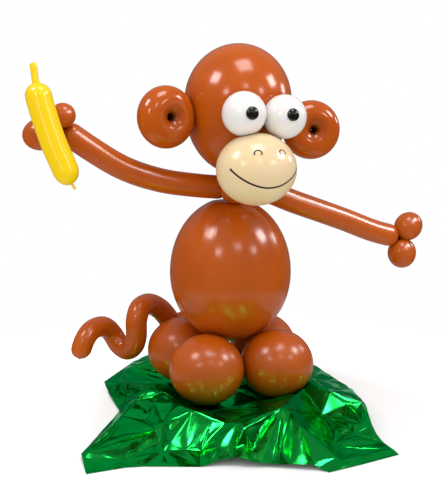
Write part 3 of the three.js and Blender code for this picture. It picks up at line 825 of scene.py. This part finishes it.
# The foil: a sheet of green metallic film, creased and crumpled round the base so that it stands
# up in front of the balloons and then runs down to the floor. Its rim lifts off the floor in places.
# In the names of its points, left and right are as the camera sees them.
FOIL_POINTS = {
    "left_tip": (-0.368, -0.255, 0.009), "left_foot": (-0.373, -0.318, 0.0),
    "front_1": (-0.343, -0.317, 0.0), "front_2": (-0.306, -0.316, 0.0),
    "front_3": (-0.277, -0.323, 0.0), "front_4": (-0.234, -0.340, 0.0),
    "front_5": (-0.192, -0.357, 0.0), "front_6": (-0.177, -0.361, 0.004),
    "front_7": (-0.162, -0.364, 0.010), "front_8": (-0.139, -0.373, 0.014),
    "front_9": (-0.129, -0.379, 0.015), "front_10": (-0.115, -0.388, 0.013),
    "front_11": (-0.098, -0.395, 0.008), "front_12": (-0.085, -0.399, 0.006),
    "front_13": (-0.055, -0.416, 0.008), "front_14": (-0.030, -0.431, 0.010),
    "front_15": (-0.021, -0.436, 0.010), "front_16": (-0.014, -0.440, 0.005),
    "right_foot": (-0.002, -0.453, 0.0), "right_1": (0.063, -0.445, 0.0),
    "right_tip": (0.144, -0.432, 0.0), "right_2": (0.1427, -0.414, 0.004),
    "right_3": (0.140, -0.389, 0.006), "right_4": (0.141, -0.362, 0.012),
    "right_5": (0.146, -0.339, 0.020), "right_6": (0.164, -0.296, 0.024),
    "right_7": (0.181, -0.257, 0.026), "right_8": (0.202, -0.200, 0.018),
    "right_9": (0.227, -0.123, 0.010), "right_10": (0.236, -0.039, 0.004),
    "back_1": (0.233, 0.062, 0.008), "back_2": (0.222, 0.170, 0.008),
    "back_3": (0.150, 0.262, 0.0), "back_4": (0.040, 0.290, 0.010),
    "back_5": (-0.096, 0.289, 0.004), "back_6": (-0.137, 0.262, 0.0),
    "back_7": (-0.189, 0.197, 0.0), "flap_tip": (-0.239, 0.134, 0.0),
    "flap_1": (-0.250, 0.034, 0.004), "flap_2": (-0.253, -0.060, 0.003),
    "crest_1": (-0.229, -0.081, 0.028), "edge": (-0.277, -0.144, 0.022),
    "crest_2": (-0.2027, -0.1342, 0.039), "crest_3": (-0.1775, -0.1709, 0.046),
    "peak_1": (-0.1645, -0.2438, 0.056), "crest_4": (-0.1428, -0.2823, 0.045),
    "crest_5": (-0.1242, -0.298, 0.046), "peak_2": (-0.1117, -0.3253, 0.055),
    "crest_6": (-0.1067, -0.3436, 0.051), "peak_3": (-0.0167, -0.2978, 0.06),
    "peak_4": (-0.0048, -0.3114, 0.056), "crest_7": (-0.0104, -0.3598, 0.049),
    "crest_end": (0.0326, -0.4311, 0.007),
    "star": (-0.233, -0.285, 0.006), "low_1": (-0.196, -0.299, 0.008),
    "low_2": (-0.172, -0.308, 0.006), "pinch": (-0.221, -0.158, 0.026),
    "pinch_1": (-0.232, -0.168, 0.022), "pinch_2": (-0.231, -0.2301, 0.025),
    "pinch_3": (-0.2162, -0.2234, 0.031), "pinch_4": (-0.2301, -0.256, 0.011),
    "pinch_5": (-0.2169, -0.2793, 0.016), "strip_1": (-0.369, -0.266, 0.006),
    "strip_2": (-0.301, -0.289, 0.004),
    "ridge_1": (0.145, -0.094, 0.034), "ridge_2": (0.1285, -0.2124, 0.045),
    "ridge_3": (0.1643, -0.2685, 0.036), "pit": (0.0985, -0.2318, 0.006),
    "ridge_4": (0.104, -0.148, 0.034), "fold_1": (0.143, -0.252, 0.03),
    "fold_2": (0.0659, -0.1934, 0.042), "fold_3": (0.048, -0.375, 0.008),
    "dent_1": (0.154, -0.268, 0.022), "dent_2": (0.134, -0.323, 0.018),
    "dent_3": (0.107, -0.342, 0.010), "dent_4": (0.028, -0.423, 0.010),
    "knob_1": (-0.180, -0.043, 0.040), "knob_2": (-0.174, -0.089, 0.042),
    "knob_3": (-0.198, -0.033, 0.030), "flap_3": (-0.211, 0.081, 0.014),
    "flap_4": (-0.171, 0.176, 0.012), "flap_5": (-0.227, -0.014, 0.012),
    "back_8": (-0.060, 0.215, 0.028), "back_9": (0.070, 0.200, 0.026),
    "back_10": (0.175, 0.110, 0.030), "seat_1": (-0.12, -0.10, 0.001),
    "seat_2": (-0.04, -0.06, 0.001), "seat_3": (-0.085, -0.12, 0.001),
    "seat_4": (0.04, -0.10, 0.001), "seat_5": (0.10, -0.07, 0.001),
    "seat_6": (0.07, -0.13, 0.001), "seat_7": (-0.12, 0.07, 0.001),
    "seat_8": (-0.05, 0.10, 0.001), "seat_9": (0.08, 0.08, 0.001),
    "seat_10": (0.13, 0.04, 0.001), "seat_11": (-0.10, -0.04, 0.001),
    "seat_12": (0.0, 0.0, 0.001), "hem_1": (-0.361, -0.2585, 0.0125),
    "hem_2": (-0.2716, -0.1484, 0.0265), "hem_3": (-0.2255, -0.088, 0.031),
    "dip_1": (-0.1, -0.362, 0.017), "dip_2": (-0.052, -0.372, 0.014),
    "dip_3": (-0.112, -0.352, 0.025), "dip_4": (-0.125, -0.352, 0.022),
    "dip_5": (-0.018, -0.402, 0.018), "dip_6": (-0.15, -0.335, 0.022),
}
FOIL_CREASES = [
    ("left_tip", "edge", "crest_1", "crest_2", "crest_3", "peak_1", "crest_4", "crest_5", "peak_2"),
    ("peak_2", "crest_6", "peak_3", "peak_4", "crest_7", "crest_end", "right_1"),
    ("peak_1", "low_1", "star"), ("peak_2", "low_2", "low_1"), ("crest_4", "low_1"),
    ("star", "strip_2", "strip_1"), ("star", "front_3"), ("star", "front_5"), ("low_2", "front_5"),
    ("crest_1", "pinch", "pinch_1"), ("pinch", "pinch_2"), ("crest_2", "pinch_3", "pinch_4", "star"),
    ("crest_3", "pinch_3", "pinch_5", "low_1"), ("strip_2", "front_2"),
    ("peak_2", "front_8"), ("crest_6", "front_9"), ("crest_6", "front_10"),
    ("peak_3", "front_11"), ("peak_3", "front_12"), ("peak_4", "front_13"),
    ("crest_7", "front_14"), ("crest_7", "front_15"), ("dent_4", "front_16"),
    ("crest_7", "dent_4", "crest_end"), ("crest_7", "fold_3", "crest_end"),
    ("fold_2", "ridge_4", "ridge_1", "ridge_2", "ridge_3", "right_7"),
    ("ridge_4", "pit", "ridge_2"), ("pit", "fold_1", "ridge_3"), ("pit", "fold_2"),
    ("pit", "fold_3"), ("fold_1", "dent_1", "dent_2", "dent_3", "pit"), ("dent_2", "right_5"),
    ("dent_3", "right_3"), ("fold_3", "right_2"), ("crest_end", "right_2"),
    ("knob_2", "knob_1", "knob_3", "flap_5", "crest_1"), ("knob_2", "crest_3"),
    ("left_tip", "hem_1", "hem_2", "hem_3", "crest_2"), ("dip_1", "peak_3"), ("dip_2", "peak_4"),
    ("knob_3", "flap_3", "flap_4", "back_8", "back_9", "back_10", "ridge_1"),
    ("flap_3", "flap_tip"), ("flap_5", "flap_1"), ("ridge_1", "right_10"), ("ridge_2", "right_9"),
]
RIM_COUNT = 40  # the first points, which go once round the rim
CRUMPLED = [((-0.21, -0.235), 0.045), ((0.125, -0.315), 0.045), ((-0.165, -0.315), 0.025),
            ((-0.185, -0.065), 0.03), ((0.17, -0.1), 0.03), ((-0.23, 0.03), 0.03)]
LOOSE_TRIES = 2600
LOOSE_SPACING = (0.011, 0.045)  # between loose points, where the foil is crumpled and elsewhere
LOOSE_SHIFT = (0.0024, 0.0008)  # how far they are shifted, again in both kinds of place
LOOSE_LOW = 0.0008  # the least height of a loose point,
FOIL_LOW = 0.0006  # and of any point of the sheet
BALL_CLEARANCE = 0.001
INSIDE = 1  # asks for the triangles inside the outline alone
SAME_POINT = 1e-5
ON_EDGE = 1e-9


def foil_mesh():
    """The sheet as flat facets: the named points and creases are triangulated, loose points are
    scattered over these facets, closer where the foil is crumpled, and shifted up or down a
    little, and all are triangulated again."""
    names = list(FOIL_POINTS)
    fixed = np.array([FOIL_POINTS[n] for n in names])
    edges = [(i, (i + 1) % RIM_COUNT) for i in range(RIM_COUNT)]
    for line in FOIL_CREASES:
        stations = [names.index(n) for n in line]
        edges += zip(stations[:-1], stations[1:])
    flat = [Vector(p[:2]) for p in fixed]
    coarse = delaunay_2d_cdt(flat, edges, [list(range(RIM_COUNT))], INSIDE, SAME_POINT)
    corners = np.array([list(v) for v in coarse[0]])
    height = heights_at(corners, fixed)
    random = np.random.default_rng(7)
    low, high = corners.min(0), corners.max(0)
    loose = low + random.random((LOOSE_TRIES, 2)) * (high - low)
    crumpled = np.min([np.linalg.norm(loose - m, axis=1) / r for m, r in CRUMPLED], axis=0) < 1
    spacing = np.where(crumpled, *LOOSE_SPACING)
    keep = []
    for i, place in enumerate(loose):
        taken = np.vstack([corners, loose[keep]])
        if np.min(np.linalg.norm(taken - place, axis=1)) > spacing[i]:
            keep.append(i)
    loose_height = on_facets(loose[keep], corners, height, np.array(coarse[2]))
    on_sheet = ~np.isnan(loose_height)
    loose = loose[keep][on_sheet]
    crumpled = crumpled[keep][on_sheet]
    loose_height = loose_height[on_sheet]
    loose_height += np.where(crumpled, *LOOSE_SHIFT) * random.normal(0, 1, len(loose))
    loose_height = np.maximum(loose_height, LOOSE_LOW)
    known = np.vstack([np.column_stack([corners, height]), np.column_stack([loose, loose_height])])
    lines = [tuple(edge) for edge in coarse[1]]
    fine = delaunay_2d_cdt([Vector(p[:2]) for p in known], lines, [], INSIDE, SAME_POINT)
    places = np.array([list(v) for v in fine[0]])
    return np.column_stack([places, heights_at(places, known)]), np.array(fine[2])


def heights_at(places, known):
    """The height of the nearest known point, for places that are known points themselves."""
    gaps = np.linalg.norm(places[:, None] - known[None, :, :2], axis=2)
    return known[np.argmin(gaps, axis=1), 2]


def area_between(a, b):
    """The area that two flat vectors span: their cross product."""
    return a[..., 0] * b[..., 1] - a[..., 1] * b[..., 0]


def on_facets(places, corners, height, triangles):
    """Heights on the facets: for each place, the mix of a triangle's corners by its areas."""
    a, b, c = (corners[triangles[:, k]] for k in range(3))
    from_c = places[:, None] - c
    area = area_between(a - c, b - c)
    first = area_between(from_c, b - c) / area
    second = area_between(a - c, from_c) / area
    inside = (first >= -ON_EDGE) & (second >= -ON_EDGE) & (first + second <= 1 + ON_EDGE)
    found = np.argmax(inside, axis=1)
    row = np.arange(len(places))
    first = first[row, found]
    second = second[row, found]
    high = height[triangles[found]]
    mixed = first * high[:, 0] + second * high[:, 1] + (1 - first - second) * high[:, 2]
    return np.where(inside.any(axis=1), mixed, np.nan)


def cut_finely(points, triangles, cuts, pillow):
    """Each triangle cut into cuts * cuts smaller ones, with shared points merged. Its middle is
    raised or lowered at random, by a share of the pillow: 27 times the product of the weights."""
    weights = []
    index = {}
    for i in range(cuts + 1):
        for j in range(cuts + 1 - i):
            index[i, j] = len(weights)
            weights.append((i / cuts, j / cuts, (cuts - i - j) / cuts))
    small = []
    for i in range(cuts):
        for j in range(cuts - i):
            small.append((index[i, j], index[i + 1, j], index[i, j + 1]))
            if i + j < cuts - 1:
                small.append((index[i + 1, j], index[i + 1, j + 1], index[i, j + 1]))
    weights = np.array(weights)
    spots = np.einsum("wk,tkd->twd", weights, points[triangles])
    bulge = np.random.default_rng(5).normal(0, 1, len(triangles))
    sides = points[triangles] - points[triangles[:, [1, 2, 0]]]
    width = np.linalg.norm(sides, axis=2).min(axis=1)
    spots[..., 2] += pillow * (bulge * width)[:, None] * 27 * weights.prod(axis=1)
    faces = np.array(small)[None] + (len(weights) * np.arange(len(triangles)))[:, None, None]
    merged, where = np.unique(spots.reshape(-1, 3).round(7), axis=0, return_inverse=True)
    return merged, where.reshape(-1)[faces.reshape(-1, 3)]


def waves(x, y, seed, size, count=14):
    """Smooth unevenness: a sum of sines in random directions, from about -1 to 1."""
    random = np.random.default_rng(seed)
    total = 0 * x
    for _ in range(count):
        heading = random.random() * 2 * np.pi
        rate = 2 * np.pi / (size * (0.6 + 0.9 * random.random()))
        distance = x * np.cos(heading) + y * np.sin(heading)
        total = total + np.sin(rate * distance + 7 * random.random())
    return total / math.sqrt(count)


def under_balls(places, heights):
    """Heights kept a millimetre clear of the base balloons' undersides, which are ellipses."""
    for ball in base_balls.values():
        away = np.linalg.norm(places - ball.heart[:2], axis=1) / (ball.across + BALL_CLEARANCE)
        drop = (ball.behind + BALL_CLEARANCE) * np.sqrt(np.maximum(0, 1 - away ** 2))
        ceiling = np.maximum(ball.heart[2] - drop - BALL_CLEARANCE / 2, FOIL_LOW)
        heights = np.where(away < 1, np.minimum(heights, ceiling), heights)
    return heights


foil_points, foil_facets = cut_finely(*foil_mesh(), cuts=11, pillow=0.04)
foil_places = foil_points[:, :2]
swell = 0.0006 * waves(foil_places[:, 0], foil_places[:, 1], seed=3, size=0.045)
foil_points[:, 2] = under_balls(foil_places, np.maximum(foil_points[:, 2] + swell, FOIL_LOW))
foil = new_object("foil", foil_points, foil_facets.tolist())
foil.data.set_sharp_from_angle(angle=math.radians(60))

LACQUER_BRIGHT = (0.014, 0.60, 0.088, 1)
LACQUER_DEEP = (0.010, 0.50, 0.066, 1)
LACQUER_EDGE_ON = (0.3, 1.0, 0.65, 1)
CRINKLE_DEPTH = 0.0008


def foil_finish():
    """Green lacquer on metal film: mirror-bright, with fine crinkles."""
    material, start, shader = new_material("green_foil")
    place = place_in(start)
    uneven = cloud(start, place, 30.0)
    link(uneven.step(0.3, 0.7).mix(LACQUER_BRIGHT, LACQUER_DEEP), shader, "Base Color")
    link(uneven * 0.10 + 0.11, shader, "Roughness")
    bumps(shader, cloud(start, place, 70.0), CRINKLE_DEPTH, strength=0.25)
    shader.inputs["Metallic"].default_value = 1.0
    shader.inputs["Specular Tint"].default_value = LACQUER_EDGE_ON
    return material


put_in_place(foil, "foil_sheet", foil_finish())


# The studio: the figure stands on a round pale floor in a dim room, seen against white. Soft boxes
# light it: three large ones high up, one far to the side and three small ones in front. Three
# strips shine on the long balloons alone, and one large panel on the foil alone.
FLOOR_RADIUS = 0.8
FLOOR_FADE = (0.5, 0.78)  # from its middle, where it starts to fade and where it is gone
FLOOR_WHITE = (0.84, 0.84, 0.84, 1)
FLOOR_MIRRORED = (0.42, 0.42, 0.42, 1)
GLOW_RING_MIDDLE = (0, -0.22, 0)
GLOW_RING_REACH = (0.31, 0.50)  # from its middle, where the painted glow starts and where it is full
FLOOR_PAINTED_GLOW = 0.02  # the painted glow near the middle, where the floor's shadows are kept
RIM_PAINTED_GLOW = 0.5  # how much more painted glow there is farther out, which washes out the shadows there


def which_ray(start, kind):
    """1 for rays of that kind, 0 for the others."""
    return start.node("ShaderNodeLightPath", {}, {}, output=kind)


def vectors(first, operation, second=(0, 0, 0)):
    """A number worked out from two vectors, or from the first alone."""
    values = {0: first, 1: second}
    return first.node("ShaderNodeVectorMath", {"operation": operation}, values, output="Value")


def pale_floor():
    """A disc that fades out towards its rim. It is seen white, with a painted glow for the camera that
    is faint near the figure and strong farther out, so that only the shadows near the figure show. In
    the balloons' gloss it is mirrored as a grey one would be: a painted, dimmer reflection."""
    material, start, shader = new_material("floor")
    place = place_in(start)
    # Painted glow, seen by the camera alone: it grows with the distance from a point in front of the
    # figure and washes out the shadows that fall farther off.
    lit = vectors(place, "DISTANCE", GLOW_RING_MIDDLE).step(*GLOW_RING_REACH)
    glow = which_ray(start, "Is Camera Ray") * (lit * RIM_PAINTED_GLOW + FLOOR_PAINTED_GLOW)
    link(1 - vectors(place, "LENGTH").step(*FLOOR_FADE), shader, "Alpha")
    link(glow.mix((0, 0, 0, 1), (1, 1, 1, 1)), shader, "Emission Color")
    mirrored = which_ray(start, "Is Glossy Ray")
    link(mirrored.mix(FLOOR_WHITE, FLOOR_MIRRORED), shader, "Base Color")
    shader.inputs["Emission Strength"].default_value = 1.0
    shader.inputs["Roughness"].default_value = 0.9
    shader.inputs["Specular IOR Level"].default_value = 0.1
    turn = full_turn(128)
    rim = np.stack([FLOOR_RADIUS * np.cos(turn), FLOOR_RADIUS * np.sin(turn), 0 * turn], axis=-1)
    floor = new_object("floor", rim, [range(len(turn))])
    floor.data.materials.append(material)
    return floor


pale_floor()

# For each light, its place, width, height and power, and the pieces it shines on, if not all.
# In the lights' names, left and right are as the camera sees them.
LOOK_AT = Vector((0, -0.05, 0.35))
LONG_BALLOONS = [right_arm, left_arm, tail_piece]
LIGHTS = {
    "top": ((0.05, -0.62, 2.05), 0.70, 0.70, 11.5, None),
    "left": ((-0.93, -0.20, 1.34), 0.36, 0.36, 6.0, None),
    "right": ((1.30, -0.73, 1.37), 0.44, 0.44, 11.0, None),
    "far_right": ((1.86, 0.0, 1.01), 0.30, 0.30, 3.5, None),
    "low_left": ((-0.98, -0.98, 0.98), 0.20, 0.20, 1.6, None),
    "low_middle": ((-0.12, -1.4, 1.25), 0.22, 0.22, 1.1, None),
    "low_right": ((0.70, -1.35, 1.03), 0.20, 0.20, 1.6, None),
    "arm_strip": ((0.95, -1.07, 1.54), 1.3, 0.42, 28.0, LONG_BALLOONS),
    "banana_strip_right": ((0.78, -1.42, 0.80), 0.24, 1.1, 5.0, [banana]),
    "banana_strip_left": ((-1.23, -1.57, 0.35), 0.30, 1.1, 2.8, [banana]),
    "foil_flash": ((0.05, -0.62, 2.05), 0.95, 0.95, 4.0, [foil]),
}


def panel(name, place, width, height, power):
    """A panel of light that faces the figure. All but the top one show in the gloss alone."""
    lamp = bpy.data.lights.new(name, "AREA")
    lamp.shape = "RECTANGLE"
    lamp.size = width
    lamp.size_y = height
    lamp.energy = power
    box = bpy.data.objects.new(name, lamp)
    box.location = place
    box.rotation_mode = "QUATERNION"
    box.rotation_quaternion = (Vector(place) - LOOK_AT).to_track_quat("Z", "Y")
    box.visible_camera = False
    box.visible_diffuse = name == "top"
    bpy.context.scene.collection.objects.link(box)
    return box


for name, (place, width, height, power, pieces) in LIGHTS.items():
    box = panel(name, place, width, height, power)
    if pieces:
        lit = bpy.data.collections.new(name + "_lit")
        for piece in pieces:
            lit.objects.link(piece)
        box.light_linking.receiver_collection = lit


UP = (0, 0, 1)
AWAY_FROM_CAMERA = (math.sin(-CAMERA_AZIMUTH), math.cos(CAMERA_AZIMUTH), 0)
FILL_FROM = (-0.7, -0.7, 0.1)


def light_room(world):
    """Lights the room. The camera sees it white. The gloss mirrors it dim, paler above and
    behind the figure. The even light that colours everything is a little stronger from above
    and from the monkey's front right."""
    world.use_nodes = True
    start = Shade(world.node_tree)
    heading = start.node("ShaderNodeTexCoord", {}, {})
    upward = vectors(heading, "DOT_PRODUCT", UP)
    behind = vectors(heading, "DOT_PRODUCT", AWAY_FROM_CAMERA)
    beside = vectors(heading, "DOT_PRODUCT", FILL_FROM)
    mirrored = upward.step(0, 0.7) * 0.24 + behind.step(0.2, 0.8) * 0.10 + 0.03
    fill = upward.step(-0.5, 0.15) * 0.14 + beside.step(-1, 1) * 0.20 + 0.84
    brightness = start.maths("MAXIMUM", mirrored, which_ray(start, "Is Diffuse Ray") * fill)
    brightness = start.maths("MAXIMUM", brightness, which_ray(start, "Is Camera Ray"))
    background = world.node_tree.nodes["Background"]
    link(brightness, background, "Strength")
    background.inputs["Color"].default_value = (1, 1, 1, 1)


bpy.context.scene.world = bpy.data.worlds.new("studio")
light_room(bpy.context.scene.world)
bpy.context.scene.view_settings.view_transform = "Standard"
